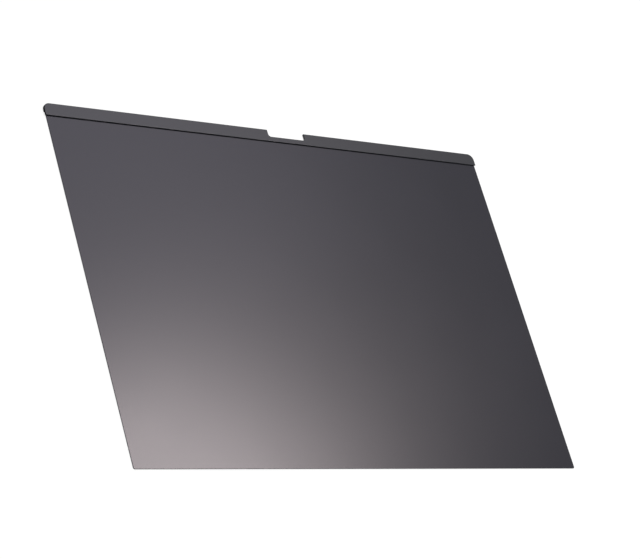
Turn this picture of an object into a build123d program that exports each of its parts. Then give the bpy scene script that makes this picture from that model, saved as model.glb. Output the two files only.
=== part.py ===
"""Laptop privacy filter: a dark privacy film whose top margin is taped into a thin magnet bar.

The filter lies on its back. +X runs along the bar, +Y goes up the sheet towards the bar, and +Z
points out of the face that the user sees. The origin is under the middle of the outline, on the
back face. All sizes are in millimetres.
"""

import os

from build123d import *

# Privacy film: the width and height of a 14.2 inch screen, and the margin that goes behind the bar
SCREEN_WIDTH = 302.0
SCREEN_HEIGHT = 197.3
FILM_MARGIN = 2.0
FILM_THICKNESS = 0.45
FILM_CORNER_RADIUS = 1.0
FILM_EDGE_BREAK = 0.1

# Magnet bar: outline and section
BAR_OVERHANG = 0.6
BAR_HEIGHT = 7.4
BAR_THICKNESS = 1.2
BAR_CORNER_RADIUS = 4.0
BAR_EDGE_ROUND = 0.3
BAR_SKIN = 0.3

# Camera notch in the bar's top edge, to the right of the middle
NOTCH_WIDTH = 26.0
NOTCH_OFFSET = 8.0
NOTCH_SILL = 1.0
NOTCH_ROOT_RADIUS = 1.6
NOTCH_LIP_RADIUS = 0.5

# Bonding tape between the film's margin and the bar
TAPE_THICKNESS = 0.1
TAPE_SETBACK = 0.2
FILM_CLEARANCE = 0.1

# Magnets, their pockets, and the backing strip that closes each row of pockets
MAGNETS_PER_BAY = 4
MAGNET_LENGTH = 16.0
MAGNET_CHAMFER = 0.1
MAGNET_CLEARANCE = 0.1
BAY_MARGIN = 2.4
BACKING_THICKNESS = 0.1
BACKING_CLEARANCE = 0.1
BACKING_LAP = 0.45
BACKING_RIM = 0.4

# Places along Y, from the film's lower edge to the bar's top edge
TOTAL_HEIGHT = SCREEN_HEIGHT + BAR_HEIGHT
BOTTOM_Y = -TOTAL_HEIGHT / 2
BAR_BOTTOM_Y = BOTTOM_Y + SCREEN_HEIGHT
TOP_Y = TOTAL_HEIGHT / 2
FILM_TOP_Y = BAR_BOTTOM_Y + FILM_MARGIN
REBATE_TOP_Y = FILM_TOP_Y + FILM_CLEARANCE
NOTCH_FLOOR_Y = REBATE_TOP_Y + NOTCH_SILL
BAY_Y = (REBATE_TOP_Y + TOP_Y) / 2

# Levels along Z, from the back face to the front
REBATE_DEPTH = FILM_THICKNESS + TAPE_THICKNESS
POCKET_DEPTH = BAR_THICKNESS - BAR_SKIN
MAGNET_THICKNESS = POCKET_DEPTH - BACKING_THICKNESS

# Widths across the bar: pockets and backings fill its solid upper part, less the rim around them
BAR_WIDTH = SCREEN_WIDTH + 2 * BAR_OVERHANG
RECESS_HEIGHT = TOP_Y - REBATE_TOP_Y - 2 * BACKING_RIM
POCKET_HEIGHT = RECESS_HEIGHT - 2 * BACKING_LAP
MAGNET_WIDTH = POCKET_HEIGHT - 2 * MAGNET_CLEARANCE

# Bays: the start and end along X of the magnet row on each side of the notch
NOTCH_LEFT_X = NOTCH_OFFSET - NOTCH_WIDTH / 2
NOTCH_RIGHT_X = NOTCH_OFFSET + NOTCH_WIDTH / 2
BAY_END_X = BAR_WIDTH / 2 - BAR_CORNER_RADIUS - BAY_MARGIN
BAYS = {
    "left": (-BAY_END_X, NOTCH_LEFT_X - BAY_MARGIN),
    "right": (NOTCH_RIGHT_X + BAY_MARGIN, BAY_END_X),
}


def bay_length(bay):
    """Length of a bay along X."""
    return bay[1] - bay[0]


def bay_centre(bay):
    """Middle of a bay."""
    return (sum(bay) / 2, BAY_Y)


def magnet_places(bay):
    """Middles of the magnets in a bay, spread evenly from end to end."""
    row_length = bay_length(bay) - 2 * (BACKING_LAP + MAGNET_CLEARANCE)
    gaps = MAGNETS_PER_BAY - 1
    step = (row_length - MAGNET_LENGTH) / gaps
    middle_x, middle_y = bay_centre(bay)
    return [(middle_x + (i - gaps / 2) * step, middle_y) for i in range(MAGNETS_PER_BAY)]


# Privacy film: a die-cut sheet with round lower corners and lightly broken front edges
with BuildPart() as privacy_film:
    with BuildSketch() as film_outline:
        with Locations((0, BOTTOM_Y)):
            Rectangle(SCREEN_WIDTH, SCREEN_HEIGHT + FILM_MARGIN, align=(Align.CENTER, Align.MIN))
        fillet(film_outline.vertices().group_by(Axis.Y)[0], FILM_CORNER_RADIUS)
    extrude(amount=FILM_THICKNESS)
    front_edges = privacy_film.faces().sort_by(Axis.Z)[-1].edges()
    chamfer(front_edges.sort_by(Axis.Y)[:-1], FILM_EDGE_BREAK)
privacy_film.part.label = "privacy_film"


# Magnet bar: a notched outline with rounded front edges, cut away behind for what it holds
with BuildPart() as magnet_bar:
    with BuildSketch() as bar_outline:
        with Locations((0, BAR_BOTTOM_Y)):
            Rectangle(BAR_WIDTH, BAR_HEIGHT, align=(Align.CENTER, Align.MIN))
        fillet(bar_outline.vertices().group_by(Axis.Y)[-1], BAR_CORNER_RADIUS)
        with Locations((NOTCH_OFFSET, NOTCH_FLOOR_Y)):
            Rectangle(
                NOTCH_WIDTH,
                TOP_Y - NOTCH_FLOOR_Y,
                align=(Align.CENTER, Align.MIN),
                mode=Mode.SUBTRACT,
            )
        notch_corners = bar_outline.vertices().filter_by_position(Axis.X, NOTCH_LEFT_X, NOTCH_RIGHT_X)
        notch_roots = notch_corners.group_by(Axis.Y)[0]
        notch_lips = notch_corners.group_by(Axis.Y)[-1]
        fillet(notch_roots, NOTCH_ROOT_RADIUS)
        fillet(notch_lips, NOTCH_LIP_RADIUS)
    extrude(amount=BAR_THICKNESS)
    fillet(magnet_bar.faces().sort_by(Axis.Z)[-1].edges(), BAR_EDGE_ROUND)

    # Rebate that takes the film's margin and the tape, along the whole lower edge
    with BuildSketch():
        with Locations((0, BAR_BOTTOM_Y)):
            Rectangle(BAR_WIDTH, REBATE_TOP_Y - BAR_BOTTOM_Y, align=(Align.CENTER, Align.MIN))
    extrude(amount=REBATE_DEPTH, mode=Mode.SUBTRACT)

    # Shallow recess for each backing strip
    with BuildSketch():
        for bay in BAYS.values():
            with Locations(bay_centre(bay)):
                Rectangle(bay_length(bay), RECESS_HEIGHT)
    extrude(amount=BACKING_THICKNESS, mode=Mode.SUBTRACT)

    # Magnet pockets in the floor of each recess
    with BuildSketch():
        for bay in BAYS.values():
            with Locations(*magnet_places(bay)):
                Rectangle(MAGNET_LENGTH + 2 * MAGNET_CLEARANCE, POCKET_HEIGHT)
    extrude(amount=POCKET_DEPTH, mode=Mode.SUBTRACT)
magnet_bar.part.label = "magnet_bar"


# Bonding tape: between the film's margin and the bar, set back a little from the bar's lower edge
with BuildPart() as bonding_tape:
    with BuildSketch(Plane.XY.offset(FILM_THICKNESS)):
        with Locations((0, BAR_BOTTOM_Y + TAPE_SETBACK)):
            Rectangle(SCREEN_WIDTH, FILM_MARGIN - TAPE_SETBACK, align=(Align.CENTER, Align.MIN))
    extrude(amount=TAPE_THICKNESS)
bonding_tape.part.label = "bonding_tape"

pieces = [privacy_film, magnet_bar, bonding_tape]


# Each bay's backing strip, flush with the bar's back, and its magnets between backing and skin
for side, bay in BAYS.items():
    with BuildPart() as backing:
        with BuildSketch():
            with Locations(bay_centre(bay)):
                Rectangle(
                    bay_length(bay) - 2 * BACKING_CLEARANCE,
                    RECESS_HEIGHT - 2 * BACKING_CLEARANCE,
                )
        extrude(amount=BACKING_THICKNESS)
    backing.part.label = f"{side}_backing"
    pieces.append(backing)

    for number, place in enumerate(magnet_places(bay), start=1):
        with BuildPart() as magnet:
            with BuildSketch(Plane.XY.offset(BACKING_THICKNESS)):
                with Locations(place):
                    Rectangle(MAGNET_LENGTH, MAGNET_WIDTH)
            extrude(amount=MAGNET_THICKNESS)
            chamfer(magnet.edges(), MAGNET_CHAMFER)
        magnet.part.label = f"{side}_magnet_{number}"
        pieces.append(magnet)


os.makedirs("parts", exist_ok=True)
for piece in pieces:
    export_step(piece.part, f"parts/{piece.part.label}.step")
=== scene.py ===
"""Laptop privacy filter: finishes for its film, magnet bar, tape, backings and magnets.

The filter lies on its back on a pale floor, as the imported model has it. Lengths are in metres.
"""

import math

import bpy
from mathutils import Matrix, Vector

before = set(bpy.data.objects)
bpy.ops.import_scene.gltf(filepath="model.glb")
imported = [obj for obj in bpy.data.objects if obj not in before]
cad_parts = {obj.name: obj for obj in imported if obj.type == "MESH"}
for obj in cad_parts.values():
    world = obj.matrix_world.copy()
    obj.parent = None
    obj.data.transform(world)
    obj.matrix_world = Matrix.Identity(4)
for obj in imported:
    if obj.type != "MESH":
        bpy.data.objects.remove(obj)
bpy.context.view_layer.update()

# View: the camera looks down at the middle of the sheet, rolled so that the bar is at the top
CAMERA_PLACE = Vector((-0.7613, -0.45689, 0.80031))
CAMERA_TARGET = Vector((0.00258, 0.00936, 0.0))
CAMERA_ROLL = math.radians(51.45)
CAMERA_SENSOR_MM = 36.0
CAMERA_LENS_MM = 124.8516

# Light: both lamps face a spot on the film, and the room fills in evenly
LIGHT_TARGET = Vector((-0.08, -0.06, 0.0))
ROOM_COLOUR = (0.49, 0.49, 0.49, 1.0)

# Floor: a hair below the filter's back
FLOOR_SIZE = 40.0
FLOOR_LEVEL = -0.0001
FLOOR_COLOUR = (0.296, 0.307, 0.296, 1.0)
FLOOR_GLOW = 0.78

# Bar: the values of facing() between which the painted shade of the walls turns to face, face to end, and
# back to notch lining
FACE_TURN = (0.05, 0.45)
END_TURN = (0.02, 0.2)
LINING_TURN = (-0.6, -0.2)
WALL_ROUGHNESS = 0.8

# Bar: on the camera notch's walls the painted shade gives way to the face's grey, which stops this far from
# the backings beside it, with a soft edge
LINING_GAP = 0.0017
LINING_BLUR = 0.0002


class Shade:
    """An output socket of a node tree. Arithmetic on it adds Math nodes, and node() adds any other."""

    def __init__(self, tree, socket=None):
        self.tree = tree
        self.socket = socket

    def node(self, kind, settings=None, sockets=None, output=0):
        """Add a node: its settings first, then the values or links of its sockets."""
        made = self.tree.nodes.new(kind)
        for name, value in (settings or {}).items():
            setattr(made, name, value)
        for key, value in (sockets or {}).items():
            if isinstance(value, Shade):
                self.tree.links.new(value.socket, made.inputs[key])
            else:
                made.inputs[key].default_value = value
        return Shade(self.tree, made.outputs[output]) if made.outputs else None

    def math(self, operation, *operands):
        return self.node("ShaderNodeMath", {"operation": operation}, dict(enumerate(operands)))

    def __add__(self, other):
        return self.math("ADD", self, other)

    def __radd__(self, other):
        return self.math("ADD", other, self)

    def __sub__(self, other):
        return self.math("SUBTRACT", self, other)

    def __rsub__(self, other):
        return self.math("SUBTRACT", other, self)

    def __mul__(self, other):
        return self.math("MULTIPLY", self, other)

    def __rmul__(self, other):
        return self.math("MULTIPLY", other, self)

    def __abs__(self):
        return self.math("ABSOLUTE", self)

    def ramp(self, low, high):
        """Smooth step from 0 to 1 as this value goes from low to high."""
        return self.node(
            "ShaderNodeMapRange",
            {"interpolation_type": "SMOOTHSTEP"},
            {"Value": self, "From Min": low, "From Max": high},
        )

    def between(self, first, second):
        """Value that goes from first to second as this one goes from 0 to 1."""
        return first + self * (second - first)

    def mix(self, first, second):
        """Colour that goes from first to second as this value goes from 0 to 1."""
        return self.node("ShaderNodeMix", {"data_type": "RGBA"}, {0: self, 6: first, 7: second}, output=2)


def new_finish(name):
    """A material with an empty tree, and the Shade that adds nodes to it."""
    finish = bpy.data.materials.new(name)
    finish.use_nodes = True
    finish.node_tree.nodes.clear()
    return finish, Shade(finish.node_tree)


def end_finish(shade, surface):
    """Show the surface."""
    shade.node("ShaderNodeOutputMaterial", sockets={"Surface": surface})


def principled(shade, sockets):
    return shade.node("ShaderNodeBsdfPrincipled", sockets=sockets)


def place_on(shade):
    return shade.node("ShaderNodeTexCoord", output="Object")


def place_along(shade, axis):
    return shade.node("ShaderNodeSeparateXYZ", sockets={0: place_on(shade)}, output=axis)


def facing(shade, axis):
    """1 on faces that look along the axis, 0 on faces beside it, -1 on faces that look the other way."""
    normal = shade.node("ShaderNodeNewGeometry", output="Normal")
    return shade.node("ShaderNodeSeparateXYZ", sockets={0: normal}, output=axis)


def noise(shade, feature, detail):
    """Noise from 0 to 1 with features of the given size."""
    sockets = {"Vector": place_on(shade), "Scale": 1.0 / feature, "Detail": detail}
    return shade.node("ShaderNodeTexNoise", sockets=sockets)


def relief(shade, height, depth):
    """Normal of a surface whose height map spans the given depth."""
    return shade.node("ShaderNodeBump", sockets={"Height": height, "Distance": depth, "Strength": 1.0})


def around(colour, spread):
    """The darkest and the palest shade of a colour that varies by the given share."""
    return [tuple(channel * factor for channel in colour) + (1.0,) for factor in (1 - spread, 1 + spread)]


def film_finish():
    """Dark satin film with fine anti-glare grain and faint cloudiness."""
    finish, shade = new_finish("privacy_film_satin")
    cloud = noise(shade, feature=0.045, detail=1.0)
    grain = noise(shade, feature=0.0006, detail=2.0)
    film = principled(
        shade,
        {
            "Base Color": cloud.mix(*around((0.0084, 0.0091, 0.0171), spread=0.06)),
            "Roughness": cloud.between(0.2454, 0.2614),
            "Specular IOR Level": 0.3472,
            "Normal": relief(shade, grain, depth=2.0e-6),
        },
    )
    end_finish(shade, film)
    return finish


def span(name, axis):
    """Least and greatest place of a CAD node along an axis."""
    places = [vertex.co["XYZ".index(axis)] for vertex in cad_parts[name].data.vertices]
    return min(places), max(places)


def notch_lining(shade):
    """1 between the backings and above the film, where the camera notch is, except on the bar's back."""
    start = span("left_backing", "X")[1] + LINING_GAP
    end = span("right_backing", "X")[0] - LINING_GAP
    film_top = span("privacy_film", "Y")[1]
    along = place_along(shade, "X")
    past_start = along.ramp(start - LINING_BLUR, start)
    past_end = along.ramp(end, end + LINING_BLUR)
    above_film = place_along(shade, "Y").ramp(film_top - LINING_BLUR, film_top + LINING_BLUR)
    return past_start * (1.0 - past_end) * above_film * facing(shade, "Z").ramp(*LINING_TURN)


def bar_painted_shade(shade):
    """Share of painted shade: 1 on the bar's walls, ends and back, which take near-black by the way they
    face, 0 on its face and on the lining of the camera notch.
    """
    end = abs(facing(shade, "X")).ramp(*END_TURN)
    face = facing(shade, "Z").ramp(*FACE_TURN) * (1.0 - end)
    return 1.0 - shade.math("MAXIMUM", face, notch_lining(shade))


def bar_finish():
    """Moulded bar: fine matte grain on the dark grey face; walls, ends and back painted near-black as
    painted shade, rough so that they hardly shine.
    """
    finish, shade = new_finish("magnet_bar_matte")
    cloud = noise(shade, feature=0.02, detail=2.0)
    grain = noise(shade, feature=0.0005, detail=3.0)
    # Painted shade: the walls, ends and back are picked by which way they face, not by what they are made
    # of
    painted_shade = bar_painted_shade(shade)
    face = principled(
        shade,
        {
            "Base Color": cloud.mix(*around((0.0101, 0.0128, 0.0176), spread=0.07)),
            "Roughness": painted_shade.between(cloud.between(0.2883, 0.3083), WALL_ROUGHNESS),
            "Specular IOR Level": 0.4065,
            "Normal": relief(shade, grain, depth=4.0e-6),
        },
    )
    # Near-black for the walls, ends and back: painted shade, not a colour of the bar's own
    black = principled(
        shade,
        {
            "Base Color": (0.0022, 0.0022, 0.0026, 1.0),
            "Roughness": WALL_ROUGHNESS,
            "Specular IOR Level": 0.075,
        },
    )
    end_finish(shade, shade.node("ShaderNodeMixShader", sockets={0: painted_shade, 1: face, 2: black}))
    return finish


def tape_finish():
    """Black double-sided tape."""
    finish, shade = new_finish("bonding_tape_black")
    fleck = noise(shade, feature=0.0008, detail=3.0)
    tape = principled(
        shade,
        {
            "Base Color": fleck.mix((0.003, 0.003, 0.003, 1.0), (0.008, 0.008, 0.008, 1.0)),
            "Roughness": fleck.between(0.55, 0.7),
            "Normal": relief(shade, fleck, depth=8.0e-6),
        },
    )
    end_finish(shade, tape)
    return finish


def backing_finish():
    """Black satin plastic film over the magnets."""
    finish, shade = new_finish("backing_black_satin")
    cloud = noise(shade, feature=0.012, detail=2.0)
    grain = noise(shade, feature=0.0004, detail=2.0)
    backing = principled(
        shade,
        {
            "Base Color": cloud.mix((0.007, 0.007, 0.008, 1.0), (0.011, 0.011, 0.012, 1.0)),
            "Roughness": cloud.between(0.38, 0.46),
            "Normal": relief(shade, grain, depth=3.0e-6),
        },
    )
    end_finish(shade, backing)
    return finish


def magnet_finish():
    """Nickel plating with faint tumbling marks."""
    finish, shade = new_finish("magnet_nickel")
    cloud = noise(shade, feature=0.004, detail=3.0)
    marks = noise(shade, feature=0.0003, detail=2.0)
    nickel = principled(
        shade,
        {
            "Base Color": cloud.mix((0.52, 0.49, 0.44, 1.0), (0.62, 0.59, 0.54, 1.0)),
            "Metallic": 1.0,
            "Roughness": cloud.between(0.22, 0.34),
            "Normal": relief(shade, marks, depth=2.0e-6),
        },
    )
    end_finish(shade, nickel)
    return finish


def floor_finish():
    """Pale floor that looks white, also in reflections, where nothing shades it."""
    finish, shade = new_finish("floor_white")
    shown = shade.node("ShaderNodeLightPath", output="Is Camera Ray")
    for ray in ("Is Glossy Ray", "Is Transmission Ray"):
        shown = shade.math("MAXIMUM", shown, shade.node("ShaderNodeLightPath", output=ray))
    matte = shade.node("ShaderNodeBsdfDiffuse", sockets={"Color": FLOOR_COLOUR})
    white = {"Color": (1.0, 1.0, 1.0, 1.0), "Strength": FLOOR_GLOW * shown}
    glow = shade.node("ShaderNodeEmission", sockets=white)
    end_finish(shade, shade.node("ShaderNodeAddShader", sockets={0: matte, 1: glow}))
    return finish


def dress_nodes():
    """Give each CAD node its finish by the kind of piece that it is."""
    finishes = {
        "privacy_film": film_finish(),
        "magnet_bar": bar_finish(),
        "bonding_tape": tape_finish(),
        "backing": backing_finish(),
        "magnet": magnet_finish(),
    }
    for name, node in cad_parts.items():
        kind = name if name in finishes else name.split("_")[1]
        node.data.materials.clear()
        node.data.materials.append(finishes[kind])


def soft_light(name, centre, size, roll, power, colour):
    """Area light of the given size and power that faces the light target, turned about its axis by roll."""
    lamp = bpy.data.lights.new(name, "AREA")
    lamp.shape = "RECTANGLE"
    lamp.size, lamp.size_y = size
    lamp.color = colour
    lamp.energy = power
    back = (Vector(centre) - LIGHT_TARGET).normalized()
    level = Vector((0.0, 0.0, 1.0)).cross(back).normalized()
    across = back.cross(level)
    side = math.cos(roll) * level + math.sin(roll) * across
    turned = Matrix((side, back.cross(side), back)).transposed().to_4x4()
    light = bpy.data.objects.new(name, lamp)
    light.matrix_world = Matrix.Translation(centre) @ turned
    light.visible_camera = False
    bpy.context.scene.collection.objects.link(light)


def light_room():
    """A small softbox whose reflection is the glow on the film, a wide panel past the bar, and the room."""
    soft_light(
        "glow_softbox",
        centre=(0.8947, 0.4268, 1.3047),
        size=(0.138, 0.3454),
        roll=-1.182,
        power=6.82,
        colour=(1.0, 0.891, 0.899),
    )
    soft_light(
        "far_panel",
        centre=(0.2994, 1.1031, 1.1807),
        size=(1.5906, 1.2816),
        roll=-0.749,
        power=11.72,
        colour=(0.928, 0.877, 1.0),
    )
    world = bpy.data.worlds.new("room")
    world.use_nodes = True
    world.node_tree.nodes["Background"].inputs["Color"].default_value = ROOM_COLOUR
    bpy.context.scene.world = world


def lay_floor():
    """One wide square under the filter."""
    half = FLOOR_SIZE / 2
    corners = [(x, y, FLOOR_LEVEL) for x, y in ((-half, -half), (half, -half), (half, half), (-half, half))]
    mesh = bpy.data.meshes.new("floor")
    mesh.from_pydata(corners, [], [(0, 1, 2, 3)])
    mesh.materials.append(floor_finish())
    floor = bpy.data.objects.new("floor", mesh)
    bpy.context.scene.collection.objects.link(floor)


def set_camera():
    """Camera at its place, aimed at its target and then rolled."""
    camera = bpy.data.cameras.new("camera")
    camera.sensor_width = CAMERA_SENSOR_MM
    camera.lens = CAMERA_LENS_MM
    holder = bpy.data.objects.new("camera", camera)
    aim = (CAMERA_TARGET - CAMERA_PLACE).to_track_quat("-Z", "Y").to_matrix().to_4x4()
    roll = Matrix.Rotation(CAMERA_ROLL, 4, "Z")
    holder.matrix_world = Matrix.Translation(CAMERA_PLACE) @ aim @ roll
    bpy.context.scene.collection.objects.link(holder)
    bpy.context.scene.camera = holder
    bpy.context.scene.view_settings.view_transform = "Standard"


dress_nodes()
light_room()
lay_floor()
set_camera()
